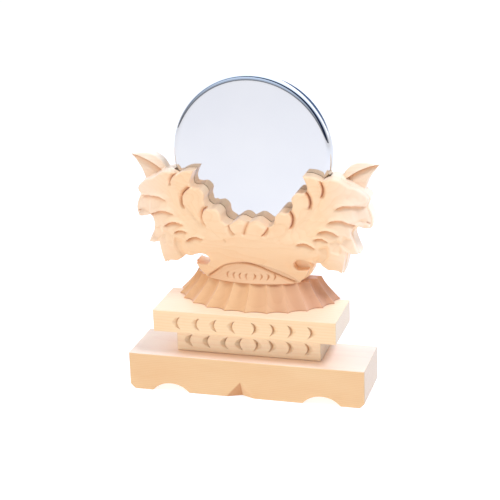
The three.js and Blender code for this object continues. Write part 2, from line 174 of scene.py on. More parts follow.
def edge_distance(points, outline):
    """How far each point is from the outline's line."""
    tree = KDTree(len(outline))
    for index, (x, z) in enumerate(outline):
        tree.insert((x, z, 0), index)
    tree.balance()
    nearest = np.array([tree.find((x, z, 0))[1] for x, z in points])
    gaps = []
    for shift in (-1, 0):
        start = outline[(nearest + shift) % len(outline)]
        end = outline[(nearest + shift + 1) % len(outline)]
        span = end - start
        t = np.sum((points - start) * span, 1) / np.sum(span * span, 1)
        gaps.append(np.linalg.norm(points - start - np.clip(t, 0, 1)[:, None] * span, axis=1))
    return np.minimum(*gaps)


def inside_grid(outline, pitch):
    """A staggered grid of points inside the outline, found row by row."""
    low, high = outline.min(0), outline.max(0)
    after = np.roll(outline, -1, 0)
    rows = []
    for number, z in enumerate(np.arange(low[1] + pitch / 2, high[1], pitch * ROW_SHARE)):
        crosses = (outline[:, 1] > z) != (after[:, 1] > z)
        a, b = outline[crosses], after[crosses]
        cuts = np.sort(a[:, 0] + (z - a[:, 1]) * (b[:, 0] - a[:, 0]) / (b[:, 1] - a[:, 1]))
        x = np.arange(low[0] + pitch / 2 * (number % 2), high[0], pitch)
        x = x[np.searchsorted(cuts, x) % 2 == 1]
        rows.append(np.column_stack([x, np.full(len(x), z)]))
    return np.concatenate(rows)


def is_inside(points, outline):
    """Which points lie inside the outline, by how often a ray from each crosses it."""
    inside = np.zeros(len(points), bool)
    x, z = points.T
    for a, b in zip(outline, np.roll(outline, -1, 0)):
        if a[1] == b[1]:
            continue
        crosses = ((a[1] > z) != (b[1] > z)) & (x < a[0] + (z - a[1]) * (b[0] - a[0]) / (b[1] - a[1]))
        inside ^= crosses
    return inside


def sheet(outline, pitch, creases=()):
    """Points and triangles that fill the outline, with rings of points along its edge and every
    crease line among the triangles' edges. The outline's own points come first."""
    along = np.roll(outline, -1, 0) - np.roll(outline, 1, 0)
    inward = np.column_stack([-along[:, 1], along[:, 0]])
    inward /= np.linalg.norm(inward, axis=1)[:, None]
    parts = [outline, *creases]
    for offset in RINGS:
        ring = outline + inward * offset
        clear = edge_distance(ring, outline) > offset * 0.94
        parts.append(ring[clear & is_inside(ring, outline)])
    grid = inside_grid(outline, pitch)
    grid = grid[edge_distance(grid, outline) > RINGS[-1] + pitch * 0.5]
    for crease in creases:
        grid = grid[np.abs(beside(grid, crease)[0]) > pitch * 0.4]
    parts.append(grid)
    count = len(outline)
    edges = [(i, (i + 1) % count) for i in range(count)]
    for crease in creases:
        edges += [(i, i + 1) for i in range(count, count + len(crease) - 1)]
        count += len(crease)
    points = [Vector(p) for p in np.concatenate(parts)]
    found, _, faces, *_ = delaunay_2d_cdt(points, edges, [], 0, 1e-5, False)
    found = np.array([tuple(p) for p in found])
    faces = np.array(faces)
    # triangles that span the outline's hollows have all three corners on it
    spans = (edge_distance(found, outline) < 1e-3)[faces].all(1)
    outside = spans.copy()
    outside[spans] = ~is_inside(found[faces[spans]].mean(1), outline)
    return found, faces[~outside].tolist()


def rounded(distance, radius):
    """How far a rounded edge falls back at a distance from it."""
    short = np.clip(radius - distance, 0, radius)
    return radius - np.sqrt(radius * radius - short * short)


def mesh_object(name, vertices, faces, body):
    mesh = bpy.data.meshes.new(name)
    mesh.from_pydata((np.asarray(vertices) * MM).tolist(), [], faces)
    mesh.validate()
    mesh.shade_smooth()
    mesh.set_sharp_from_angle(angle=SHARP)
    piece = bpy.data.objects.new(name, mesh)
    bpy.context.scene.collection.objects.link(piece)
    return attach(piece, body)


def paint_cut_shade(piece, cut):
    """Stores at each vertex how much painted shade darkens the wood there: in cuts, hollows
    and shadowed edges.
    """
    piece.data.attributes.new("cut", "FLOAT", "POINT").data.foreach_set("value", cut)


def boundary_loop(faces):
    """The directed edges round a sheet of triangles, as a map from each vertex to the next."""
    edges = {(a, b) for face in faces for a, b in zip(face, face[1:] + face[:1])}
    return {a: b for a, b in edges if (b, a) not in edges}


EDGE_SUPPORT = 0.3  # loops this far inside a wall's two edges keep its middle flat


def carved_plate(name, node, points, faces, front, back, cut=0):
    """A closed wooden piece that replaces a CAD node, from one sheet of points with a front and a
    back depth at each."""
    faces = [tuple(face) for face in faces]
    count = len(points)
    x, z = points.T
    front_side = np.column_stack([x, front, z])
    back_side = np.column_stack([x, back, z])
    follow = boundary_loop(faces)
    rim = list(follow)
    number = {vertex: index for index, vertex in enumerate(rim)}
    near = front_side[rim] + [0, EDGE_SUPPORT, 0]
    far = back_side[rim] - [0, EDGE_SUPPORT, 0]
    vertices = np.concatenate([front_side, back_side, near, far])
    walls = []
    for a, b in follow.items():
        ring_a = [a, 2 * count + number[a], 2 * count + len(rim) + number[a], count + a]
        ring_b = [b, 2 * count + number[b], 2 * count + len(rim) + number[b], count + b]
        for level in range(3):
            walls.append((ring_a[level], ring_a[level + 1], ring_b[level + 1], ring_b[level]))
    reverse = [tuple(count + i for i in reversed(face)) for face in faces]
    piece = mesh_object(name, vertices, [*faces, *reverse, *walls], "stand")
    # painted shade in the front's cuts and hollows, none on the back and walls
    darker = np.zeros(len(vertices))
    darker[:count] = cut
    paint_cut_shade(piece, darker)
    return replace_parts(piece, node)


# ---- gouge marks ---------------------------------------------------------------------------------

STEP = 0.32  # how wide the wall of a stop cut is, seen from the front
WALL_PLACE = 0.32  # how far from the cut's line its wall's painted shade is darkest
WALL_BLUR = 0.34


def stepped(points, line, lift, drop, band, reach, ease=0.2):
    """A stop cut along a line, as its depth and the painted shade along its wall: on its left the
    wood swells towards the line, on its right it drops and comes back over `reach` mm. It fades
    out at both ends."""
    line = eased(line, 0.7)
    side, place = beside(points, line)
    fade = smooth(place / ease) * smooth((1 - place) / ease)
    below = smooth(-side / STEP)
    swell = lift * np.clip(1 - np.abs(side) / band, 0, 1) ** 1.6 * (1 - below)
    fall = drop * below * np.clip(1 + side / reach, 0, 1) ** 1.7
    return fade * (fall - swell), fade * np.exp(-(((side + WALL_PLACE) / WALL_BLUR) ** 2))


def slope(points, line, depth, width, reach, ease=0.25):
    """Wood that slopes down on a line's right to a deeper level, as far as `reach`."""
    side, place = beside(points, eased(line, 0.7))
    fade = smooth(place / ease) * smooth((1 - place) / ease)
    return fade * depth * smooth(-side / width) * smooth((reach + side) / (reach * 0.3))


def valley(points, line, depth, width, ease=0.3):
    """A soft hollow along a line."""
    side, place = beside(points, eased(line, 1.0))
    fade = smooth(place / ease) * smooth((1 - place) / ease)
    return fade * depth * np.exp(-np.hypot(side, 0.25) / width * 1.3)


def tool_marks(points, size, depth, seed):
    """The slight facets that a blade leaves: a few long waves that cross, each started at a place
    that depends on the seed."""
    x, z = points.T
    phase = seed * 1.7
    waves = (
        np.sin((x * 0.8 + z * 0.6) * 2 * np.pi / size + phase)
        + np.sin((x * 0.3 - z * 0.95) * 2 * np.pi / (size * 0.71) + 2 * phase)
        + np.sin((x * 0.97 + z * 0.2) * 2 * np.pi / (size * 1.37) + 3 * phase)
    )
    return depth * waves / 3


CRESCENT_WALL = 0.3  # how wide the wall of a crescent is, seen from the front


def crescent(points, x, height, size, depth, side):
    """One upright gouge cut, hollow towards `side`: a wall along its inner arc and a floor that
    rises from there. Its ends close to points. Also the painted shade along its wall."""
    chord, bow, width = size
    across = (points[:, 0] - x) * side
    up = (points[:, 1] - height) / (chord / 2)
    fullness = np.clip(1 - up * up, 0, 1)
    inner = bow * (fullness - 1)
    reach = width * np.sqrt(fullness) + 1e-6
    floor = np.clip(1 - (across - inner) / reach, 0, 1)
    wall = smooth((across - inner) / CRESCENT_WALL)
    dark = np.exp(-(((across - inner - WALL_PLACE) / WALL_BLUR) ** 2))
    return depth * np.sqrt(fullness) * wall * floor, dark * np.sqrt(fullness)


def crescent_row(points, places, height, size, depth, left_depth=None):
    """The crescents on both sides of the middle, their hollows turned outwards."""
    made, cut = np.zeros((2, len(points)))
    for side, cut_depth in ((1, depth), (-1, left_depth or depth)):
        for x in places:
            one, dark = crescent(points, side * x, height, size, cut_depth, side)
            made += one
            cut += dark
    return made, cut


# ---- wood ----------------------------------------------------------------------------------------

class Nodes:
    """Adds shader nodes to a tree. Every input is a value or another node's output."""

    def __init__(self, tree):
        self.tree = tree

    def feed(self, socket, value):
        if isinstance(value, bpy.types.NodeSocket):
            self.tree.links.new(value, socket)
        else:
            socket.default_value = value

    def add(self, kind, inputs=None, **settings):
        node = self.tree.nodes.new("ShaderNode" + kind)
        for key, value in settings.items():
            setattr(node, key, value)
        for key, value in (inputs or {}).items():
            self.feed(node.inputs[key], value)
        return node

    def number(self, operation, *values):
        return self.add("Math", dict(enumerate(values)), operation=operation).outputs[0]

    def vector(self, operation, *values):
        node = self.add("VectorMath", dict(enumerate(values)), operation=operation)
        one_number = operation in ("LENGTH", "DOT_PRODUCT")
        return node.outputs["Value" if one_number else "Vector"]

    def ranged(self, value, start, end, low=0.0, high=1.0, curve="LINEAR"):
        """Goes from `low` to `high` while the value goes from `start` to `end`."""
        limits = {"From Min": start, "From Max": end, "To Min": low, "To Max": high}
        return self.add("MapRange", {"Value": value, **limits}, interpolation_type=curve).outputs[0]

    def noise(self, place, scale, **inputs):
        return self.add("TexNoise", {"Vector": place, "Scale": scale, **inputs}).outputs

    def ramp(self, value, stops):
        """A colour ramp. A stop is a position and a colour, or a position and a grey level."""
        node = self.add("ValToRGB", {"Fac": value})
        elements = node.color_ramp.elements
        while len(elements) < len(stops):
            elements.new(0.5)
        for element, (position, color) in zip(elements, stops):
            element.position = position
            element.color = (*color, 1) if isinstance(color, tuple) else (color, color, color, 1)
        return node.outputs["Color"]

    def mixed(self, amount, color, other, blend="MIX"):
        """The colour with some of another, constant colour."""
        inputs = {0: amount, 6: color, 7: (*other, 1)}
        return self.add("Mix", inputs, data_type="RGBA", blend_type=blend).outputs[2]

    def place(self):
        """Where a point is on the object, in mm."""
        return self.vector("MULTIPLY", self.add("TexCoord").outputs["Object"], (1 / MM,) * 3)


def new_material(name):
    material = bpy.data.materials.new(name)
    material.use_nodes = True
    material.node_tree.nodes.clear()
    nodes = Nodes(material.node_tree)
    shader = nodes.add("BsdfPrincipled")
    nodes.add("OutputMaterial", {"Surface": shader.outputs["BSDF"]})
    return material, nodes, shader.inputs


CUT_SHADE_TINT = (0.66, 0.44, 0.30)  # painted shade on the walls of the cuts and in the hollows
# painted highlight, the pale mixed into faces that catch more light
HIGHLIGHT_TINT = (1.0, 0.90, 0.80)
END_GRAIN_AND_SHADE_TINT = (0.75, 0.80, 0.87)  # the sawn ends: darker end grain, and painted shade

# one growth ring, from its pale early wood to its dark late wood
RING_PROFILE = [(0.0, 0.0), (0.45, 0.12), (0.8, 0.55), (0.93, 1.0), (1.0, 0.1)]


def growth_rings(nodes, place, centre, spacing, shift, bend):
    """Rings round a line along X, bent by a slow warp that is much longer along the grain than
    across it."""
    moved = nodes.vector("ADD", place, (shift, -centre[0], -centre[1]))
    slow = nodes.vector("MULTIPLY", moved, (0.012, 0.05, 0.05))
    warp = nodes.noise(slow, 1.0, Detail=2.0)["Color"]
    warp = nodes.vector("SUBTRACT", warp, (0.5, 0.5, 0.5))
    bent = nodes.vector("MULTIPLY_ADD", warp, (0, bend, bend), moved)
    across = nodes.vector("MULTIPLY", bent, (0.02, 1, 1))
    radius = nodes.vector("LENGTH", across)
    rings = nodes.number("MULTIPLY", radius, 1 / spacing)
    return nodes.ramp(nodes.number("FRACT", rings), RING_PROFILE)


def wood(name, early, late, centre, spacing, contrast=1.0, shift=0.0, bend=9.0, side_shade=None,
         edge_highlight=None, top_highlight=None):
    """Planed and carved softwood. Its growth rings are cylinders along X round `centre`, [y, z]
    in mm, a ring every `spacing` mm, so each surface shows the figure that its cut would show.
    The last three arguments paint light and shade. (from x, to x, tint) is painted shade that
    darkens a board towards one side. (from, to, share) is how much paler, as a painted highlight,
    the wood gets between two distances from the middle. The last is how much paler, as a painted
    highlight, the faces that look up are, on a board whose sawn ends show too; those are darker,
    partly for their end grain and partly as painted shade."""
    material, nodes, inputs = new_material(name)
    place = nodes.place()
    late_wood = growth_rings(nodes, place, centre, spacing, shift, bend)
    # fine streaks and broad patches, both long along X
    fine = nodes.vector("MULTIPLY", place, (0.22, 5.5, 5.5))
    fibre = nodes.noise(fine, 1.0, Detail=4.0, Roughness=0.62)["Fac"]
    broad = nodes.vector("MULTIPLY", place, (0.03, 0.11, 0.11))
    patch = nodes.noise(broad, 1.0, Detail=3.0)["Fac"]
    darkness = -0.3
    for value, share in ((late_wood, 0.26 * contrast), (fibre, 0.34 * contrast), (patch, 0.42)):
        darkness = nodes.number("MULTIPLY_ADD", value, share, darkness)
    color = nodes.ramp(darkness, [(0.0, early), (0.75, late)])
    if side_shade or edge_highlight:
        x = nodes.add("SeparateXYZ", {0: place}).outputs["X"]
    # painted shade: a board gets darker towards one side
    if side_shade:
        start, end, tint = side_shade
        color = nodes.mixed(nodes.ranged(x, start, end), color, tint, "MULTIPLY")
    # painted highlight: paler towards the outer edges
    if edge_highlight:
        start, end, share = edge_highlight
        amount = nodes.ranged(nodes.number("ABSOLUTE", x), start, end, 0.0, share)
        color = nodes.mixed(amount, color, HIGHLIGHT_TINT)
    # painted shade in the cuts and hollows, read from the cut attribute
    cut = nodes.add("Attribute", attribute_name="cut").outputs["Fac"]
    color = nodes.mixed(cut, color, CUT_SHADE_TINT, "MULTIPLY")
    # sawn ends darker, for end grain and as painted shade; upward faces paler, a painted highlight
    if top_highlight is not None:
        facing = nodes.add("SeparateXYZ", {0: nodes.add("TexCoord").outputs["Normal"]}).outputs
        sawn = nodes.ranged(nodes.number("ABSOLUTE", facing["X"]), 0.5, 0.9)
        color = nodes.mixed(sawn, color, END_GRAIN_AND_SHADE_TINT, "MULTIPLY")
        level = nodes.ranged(nodes.number("ABSOLUTE", facing["Z"]), 0.5, 0.9, 0.0, top_highlight)
        color = nodes.mixed(level, color, HIGHLIGHT_TINT)
    nodes.feed(inputs["Base Color"], color)
    nodes.feed(inputs["Roughness"], nodes.ranged(fibre, 0, 1, 0.4, 0.56))
    # relief: fibres, proud late wood and the low facets of the blade
    facets = nodes.noise(place, 0.35, Detail=1.0)["Fac"]
    height = nodes.number("MULTIPLY_ADD", late_wood, 0.25, fibre)
    height = nodes.number("MULTIPLY_ADD", facets, 2.2, height)
    bump = nodes.add("Bump", {"Height": height, "Strength": 0.45, "Distance": 0.00006})
    nodes.feed(inputs["Normal"], bump.outputs["Normal"])
    # raw wood has a fine nap that lightens it at a low angle
    inputs["Sheen Weight"].default_value = 0.5
    inputs["Sheen Roughness"].default_value = 0.35
    inputs["IOR"].default_value = 1.5
    return material


def dress(piece, material):
    piece.data.materials.clear()
    piece.data.materials.append(material)


# painted highlight: the base's upward faces are paler, against the slabs' shade on its top
BASE_WOOD = wood("cypress_base", (0.885, 0.55, 0.26), (0.78, 0.375, 0.135),
                 centre=(10, -140), spacing=0.9, bend=3.0, top_highlight=0.35)
# lighter than the upper slab's wood, as painted light against the shade under the upper slab
LOWER_SLAB_WOOD = wood("cypress_lower_slab", (1.0, 0.76, 0.47), (0.92, 0.56, 0.29),
                       centre=(55, 90), spacing=1.4, shift=70, top_highlight=0.1)
UPPER_SLAB_WOOD = wood("cypress_slabs", (0.97, 0.64, 0.335), (0.86, 0.45, 0.185),
                       centre=(60, 145), spacing=1.1, contrast=0.8, shift=40, bend=4.0, top_highlight=0.1)
# painted shade: the skirt gets darker towards +X
SKIRT_WOOD = wood("cypress_skirt", (0.89, 0.52, 0.235), (0.73, 0.365, 0.145),
                  centre=(60, 10), spacing=1.3, contrast=0.6, side_shade=(-2, 30, (0.87, 0.80, 0.95)))
# painted highlight: the leaves get paler towards their outer edges
HOLDER_WOOD = wood("cypress_holder", (0.97, 0.62, 0.33), (0.88, 0.44, 0.185),
                   centre=(150, 74), spacing=0.8, contrast=0.6, shift=90, edge_highlight=(34, 52, 0.26))
# painted highlight: the horns get paler towards the sides
REAR_WOOD = wood("cypress_rear_board", (0.99, 0.71, 0.42), (0.90, 0.52, 0.26),
                 centre=(-120, 60), spacing=1.1, shift=-60, edge_highlight=(30, 50, 0.22))
DOWEL_WOOD = wood("beech_dowels", (0.70, 0.46, 0.26), (0.52, 0.30, 0.15), centre=(11, 0), spacing=0.8)

# ---- base and slabs ------------------------------------------------------------------------------

ARRIS = 0.55  # the sanded edge of the plain pieces


def plain_faces(points, outline, front_y, back_y):
    """The depths of a flat front and back with an arris all round."""
    fall = rounded(edge_distance(points, outline), ARRIS)
    return front_y + fall, back_y - fall


# the cusp: a chip cut up into the lower edge, two slopes that meet in a valley
CUSP = {"x": -2.4, "left": 7.2, "right": 7.8, "height": 8, "depth": 3.3}


def cusp(points):
    """The depth of the cusp and the painted shade on its wood: most on the slope out of the light."""
    x, z = points.T
    off = x - CUSP["x"]
    across = np.where(off < 0, -off / CUSP["left"], off / CUSP["right"])
    inside = np.clip(1 - z / CUSP["height"] - across, 0, 1)
    dark = np.where(off < 0.3, 0.75, 0.1) * smooth(inside / 0.12)
    valley_line = np.exp(-((off / 0.45) ** 2)) * smooth(inside / 0.1)
    return CUSP["depth"] * inside, np.maximum(dark, valley_line)


def build_base():
    low, high = node_box("base")
    outline = smoothed_outline(back_outline("base"), corner=8, spacing=0.4, rounding=0.3)
    points, faces = sheet(outline, pitch=0.45)
    front, back = plain_faces(points, outline, low[1], high[1])
    carved, cut = cusp(points)
    front = np.maximum(front, low[1] + carved) + tool_marks(points, size=21, depth=0.03, seed=1)
    piece = carved_plate("base_bar", "base", points, faces, front, back, cut)
    dress(piece, BASE_WOOD)


SLABS = [
    # CAD node, name, wood, places of the crescents, their depth on the right and on the left
    ("lower_slab", "narrow_slab", LOWER_SLAB_WOOD, [3.9, 11, 19.7, 28.3], 1.7, 2.6),
    ("upper_slab", "wide_slab", UPPER_SLAB_WOOD, [5.2, 13.9, 22.3, 31.7], 1.4, 1.7),
]
SLAB_CRESCENT = (6.0, 1.6, 2.6)  # chord, bow and width
CRESCENTS_DROP = 0.4  # the rows lie a little below the slabs' middles


def build_slabs():
    for node, name, material, places, depth, left_depth in SLABS:
        low, high = node_box(node)
        outline = smoothed_outline(back_outline(node), corner=12, spacing=0.4, rounding=0.3)
        points, faces = sheet(outline, pitch=0.26)
        front, back = plain_faces(points, outline, low[1], high[1])
        row = (low[2] + high[2]) / 2 - CRESCENTS_DROP
        carved, cut = crescent_row(points, places, row, SLAB_CRESCENT, depth, left_depth)
        front = front + carved + tool_marks(points, size=17, depth=0.03, seed=len(name))
        # painted shade on the crescents' walls
        piece = carved_plate(name, node, points, faces, front, back, cut * 0.7)
        dress(piece, material)


# ---- skirt ---------------------------------------------------------------------------------------

FLUTES = 12
FLUTE_STEPS = 14
FLUTE_DEPTH = 1.9
SKIRT_SHADE = 0.42  # how dark the painted shade on the hollows' shaded sides is
SKIRT_ROWS = 22
SKIRT_TOP = np.array([30.2, 16.7])  # half axes of its top edge, along X and Y


def build_skirt():
    """A flared half ellipse with hollow flutes: level rings from its foot to its top."""
    low, high = node_box("fluted_skirt")
    bottom_axes = np.array([high[0], high[1] - low[1]])
    height = high[2] - low[2]
    steps = FLUTES * FLUTE_STEPS
    angles = np.pi + np.pi * np.arange(steps + 1) / steps
    place = (np.arange(steps + 1) / FLUTE_STEPS) % 1
    fullness = 4 * place * (1 - place)
    hollow = FLUTE_DEPTH * fullness ** 0.8
    levels = [0, 0.012, 0.035, *np.linspace(0.07, 0.93, SKIRT_ROWS), 0.965, 0.988, 1]
    behind = np.linspace(1, -1, 40)[1:-1]
    rings = []
    cuts = []
    for level in levels:
        rise = 1 - (1 - level) ** 1.3
        axes = bottom_axes + (SKIRT_TOP - bottom_axes) * rise
        edge = min(level, 1 - level) * height
        inset = rounded(edge, 0.35)
        wobble = 0.12 * np.sin(angles * 19 + level * 2)
        depth = hollow * (1 - 0.15 * level) + inset + wobble * (hollow > 0.1)
        x = np.cos(angles) * (axes[0] - depth)
        y = high[1] + np.sin(angles) * (axes[1] - depth)
        straight = np.column_stack([behind * x[-1], np.full(len(behind), high[1])])
        ring = np.concatenate([np.column_stack([x, y]), straight])
        rings.append(np.column_stack([ring, np.full(len(ring), low[2] + level * height)]))
        # painted shade: the hollows' shaded sides are darker, and the shadowed lower edge most of all
        shaded = 0.1 + SKIRT_SHADE * fullness * (0.4 + 0.6 * place) + 0.6 * (level < 0.03)
        cuts.append(np.concatenate([shaded, np.zeros(len(behind))]))
    count = len(rings[0])
    vertices = np.concatenate(rings)
    faces = []
    for row in range(len(levels) - 1):
        for i in range(count):
            j = (i + 1) % count
            here, above = row * count, (row + 1) * count
            faces.append((here + i, here + j, above + j, above + i))
    faces.append(tuple(reversed(range(count))))
    faces.append(tuple(range((len(levels) - 1) * count, len(levels) * count)))
    piece = mesh_object("fluted_skirt_carved", vertices, faces, "stand")
    paint_cut_shade(piece, np.concatenate(cuts))
    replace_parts(piece, "fluted_skirt")
    dress(piece, SKIRT_WOOD)


# ---- front board ---------------------------------------------------------------------------------
# Lines are in [x, height above the holder's foot]. What is listed for the right half is carved on
# both, and only the lobe cuts differ. The face tables give how far back the face lies, by height
# and by distance from the middle.

GLUE_LINE = 0.05  # heights are counted from the skirt's top, this far under the holder
FACE_BY_HEIGHT = [[0, 4.4], [1, 4.4], [9, 2.2], [17, -0.4], [24, -2.25]]
FACE_BY_WIDTH = [[0, -2.25], [16, -2.25], [27, 0.2], [40, 1.2], [50, 3.4], [60, 5.4]]
PANEL = {"rise": 12, "shrink": 0.7, "half_width": 22.2}
PANEL_ARC = [[-22.3, -0.2], [-18.3, 3], [-13.5, 6.4], [-9.2, 7.9], [-3, 8.7], [2.9, 7.7], [8.6, 5.6],
             [14.3, 3.2], [21.6, 0]]

# leaf fingers: line, swell above it, drop below it, how wide the swell, how far the drop reaches
FINGERS = [
    ([[39.2, 36.6], [40.4, 37.6], [43.3, 38.9], [47, 39.1], [51, 38.6], [54.6, 37.9]],
     1.1, 1.6, 2.6, 2.8),
    ([[35.8, 29.9], [37, 31.1], [39.5, 32.1], [42.4, 32.3], [45.5, 31.2], [48.6, 29.6], [51, 28.4]],
     1.1, 1.7, 2.4, 2.8),
    ([[31.4, 25.4], [32.3, 26.2], [34.6, 27.1], [37.2, 27.2], [39.6, 26.3], [42.2, 24.2]],
     1.1, 1.7, 2.2, 2.6),
    ([[29.6, 22], [30.4, 22.7], [32.8, 23.4], [34.8, 23.1], [37.2, 21.4]], 0.8, 1.4, 1.7, 2.2),
    ([[21.6, 19.6], [22.5, 20.3], [24.5, 20.9], [27, 20.7], [29, 19.8], [31.4, 18]],
     1.0, 1.8, 2.2, 2.6),
]
# the fingers' ends slope down to lower pads: line with the pad on its right, depth, width, reach
PADS = [
    ([[46.9, 39.8], [47.3, 36], [47.6, 33], [47.4, 29.6]], 1.5, 2.6, 11),
    ([[45.3, 31.2], [45.8, 28.6], [46.2, 26.5], [46.2, 23.8]], 1.3, 2.4, 9),
    ([[42.9, 25.2], [41.8, 22.8], [40.2, 20.8]], 1.3, 2.4, 9),
    ([[36.3, 21.2], [37.2, 18.6], [36.8, 16.4]], 0.9, 2.0, 6),
    ([[31, 18.6], [31.6, 16], [30.7, 14.5], [28.4, 13.2]], 1.2, 2.2, 6),
]
MARKS = [([[53.4, 31.3], [55.4, 30.6], [57, 29.4]], 0.1, 0.7, 1.0, 2.0)]
# stop cuts under the lobes: line with the lobe on its left, swell, drop, band, reach
LOBES_RIGHT = [
    ([[32.4, 50.4], [33.3, 49.1], [34.2, 46.9], [34, 44.5], [33, 41.9]], 0.4, 2.3, 3.0, 2.4),
    ([[25.4, 46], [26.5, 44.7], [27.9, 42.6], [28.4, 39.7], [27.3, 36.2]], 0.5, 2.7, 3.4, 2.4),
    ([[18.2, 37], [19.2, 35.8], [20.4, 33.3], [20.2, 30.4], [18.7, 27.1]], 0.5, 2.7, 3.4, 2.4),
]
LOBES_LEFT = [
    ([[32.6, 51], [34, 50.2], [36, 48.6], [37, 46.7], [36.6, 44.6]], 0.4, 2.3, 3.0, 2.4),
    ([[27, 44.6], [28.8, 43.2], [31.1, 40.6], [31.6, 36.9], [30.3, 33.6]], 0.5, 2.7, 3.6, 2.4),
    ([[18, 36.6], [19.5, 35.3], [21.4, 33.2], [21.7, 30.2], [20, 26.4]], 0.5, 2.7, 3.6, 2.4),
]
CENTRE_CUTS = [
    ([[9.4, 28.4], [8.7, 27.2], [7.7, 25.4], [5.8, 23.6]], 0.3, 1.6, 2.0, 3.0),
]
# soft hollows between the leaf's ribs: line, depth, width
VALLEYS = [
    ([[37, 49], [35.2, 46], [33, 40], [28, 32], [22, 26], [17, 23]], 0.9, 2.1),
    ([[29.6, 38], [26, 31.5], [20, 25.5]], 0.7, 1.8),
    ([[20.5, 28.6], [17, 24], [12, 20.5]], 0.6, 1.8),
    ([[46, 45], [41, 42], [36, 36], [30, 29], [24, 24]], 0.55, 2.0),
    ([[40, 36], [35, 30.5], [28, 25], [21, 22]], 0.45, 1.6),
    ([[51, 42], [47, 42.6], [43, 41.6]], 0.4, 1.4),
]
WEDGE = ([[0.1, 31], [-0.3, 29.2], [-1.1, 27.2], [-2.4, 23]], 1.9, 0.75)
NICK = ([[-11.9, 21], [-11.3, 20.2], [-10.9, 19.2]], 0.8, 0.35)
SWELL_LIMIT = -4.2  # nothing on this board stands further forward
LEAST_LEFT = 0.9  # how much of the board is left behind its deepest cuts
PANEL_MARKS = {"x": [1.9, 5, 8.1, 11.2], "height": 3, "size": (2.9, 0.8, 1.1), "depth": 1.0}


def softly(table, at, blur=2.2):
    """A face line read with its corners smoothed."""
    places, depths = np.array(table).T
    return np.mean([np.interp(at + shift, places, depths) for shift in np.linspace(-blur, blur, 9)], 0)


def soft_larger(a, b, blend=1.0):
    """The larger of two numbers, with a smooth change from one to the other."""
    return (a + b + np.sqrt((a - b) ** 2 + blend**2)) / 2


def panel_depth(points, foot_y):
    """The depth of the bulging foot panel, a cone on the skirt's top edge."""
    x, z = points.T
    shrink = 1 - (1 - PANEL["shrink"]) * np.clip(z, 0, PANEL["rise"]) / PANEL["rise"]
    across = np.clip(np.abs(x) / (shrink * SKIRT_TOP[0]), 0, 0.98)
    return foot_y - shrink * SKIRT_TOP[1] * np.sqrt(1 - across**2)


def reversed_lines(cuts):
    return [(line[::-1], *rest) for line, *rest in cuts]


def front_relief(points):
    """How deep the carving is at each point, in mm, and the painted shade where the walls of its
    cuts show. A depth less than zero stands proud."""
    x, z = points.T
    half = np.column_stack([np.abs(x), z])
    depth, cut = np.zeros((2, len(points)))

    def stop_cuts(chosen, cuts, ease=0.2):
        for line, lift, drop, band, reach in cuts:
            one, dark = stepped(half[chosen], line, lift, drop, band, reach, ease)
            depth[chosen] += one
            cut[chosen] += dark

    everywhere = np.ones(len(points), bool)
    stop_cuts(everywhere, [*FINGERS, *MARKS])
    cut *= 0.75  # these walls lean back, and catch more light than the lobes' walls
    stop_cuts(x >= 0, reversed_lines(LOBES_RIGHT), 0.16)
    stop_cuts(x < 0, reversed_lines(LOBES_LEFT), 0.16)
    stop_cuts(everywhere, reversed_lines(CENTRE_CUTS))
    for line, fall, width, reach in PADS:
        depth += slope(half, line[::-1], fall, width, reach)
    for line, fall, width in VALLEYS:
        depth += valley(half, line, fall, width)
    for line, fall, width in (WEDGE, NICK):
        carved = valley(points, line, fall, width, 0.15)
        depth += carved
        # painted shade deep in the wedge and the nick
        cut += 1.3 * (carved / fall) ** 1.5
    return depth + tool_marks(points, 7, 0.09, 3) + tool_marks(points, 3.1, 0.035, 5), cut


def build_front_board():
    low, high = node_box("front_board")
    foot = low[2] - GLUE_LINE
    outline = back_outline("front_board") - [0, foot]
    outline = smoothed_outline(outline, corner=26, spacing=0.38, rounding=0.25)
    points, faces = sheet(outline, pitch=0.3)
    x, z = points.T
    leaning = np.where(z < 30, softly(FACE_BY_HEIGHT, z), -3)
    face = soft_larger(softly(FACE_BY_WIDTH, np.abs(x)), leaning)
    carved, cut = front_relief(points)
    depth = face + carved
    # the foot panel bulges out of the face, with a groove along its upper edge and a row of marks
    panel = panel_depth(points, node_box("fluted_skirt")[1][1])
    within = np.abs(x) < PANEL["half_width"]
    panel = np.where(within & (z < PANEL["rise"]), panel, np.inf)
    side, place = beside(points, eased(PANEL_ARC, 0.8))
    groove = 0.9 * np.exp(-((side / 0.42) ** 2)) * smooth(place / 0.04) * smooth((1 - place) / 0.04)
    marks = PANEL_MARKS
    marked, dark = crescent_row(points, marks["x"], marks["height"], marks["size"], marks["depth"])
    on_panel = panel + marked < depth
    depth = np.minimum(depth, panel + marked) + groove
    # painted shade over the panel, which faces a little down, and more in its marks and groove
    cut = np.where(on_panel, 0.4 + dark * 0.6, cut) + groove * 0.6
    # the middle lobes are rolled over like balls, the rest has a small rounded arris
    middle = smooth((11 - np.abs(x)) / 3) * smooth((z - 22) / 3)
    upper = smooth((z - 26) / 8)
    gap = edge_distance(points, outline)
    radius = 0.6 + 0.35 * upper + 1.5 * middle
    depth = depth + rounded(gap, radius) * (z > 0.6)
    depth = np.clip(depth, SWELL_LIMIT, high[1] - LEAST_LEFT)
    placed = points + [0, foot]
    piece = carved_plate("carved_front_board", "front_board", placed, faces, depth,
                         np.full(len(points), high[1]), np.clip(cut, 0, 1))
    dress(piece, HOLDER_WOOD)


# ---- rear board ----------------------------------------------------------------------------------

# the line above which the board steps back to the horns, and the crease along a horn
HORN_STEP = [[39.4, 52.6], [41.4, 51], [46, 47.9], [52.2, 44.9], [60, 44.3]]
HORN_CREASE = [[42.6, 48.9], [45.4, 51], [48.3, 52.9], [52.5, 55], [56, 56.3], [58.2, 56.6]]
HORN_SETBACK = 2.8  # from the board's face to a horn's
POCKET_RADIUS = 37.8  # the slot's seat, round the mirror
POCKET_WALL = 0.06  # how wide the step at the seat is, seen from the front
SLOT_GAP = 0.2


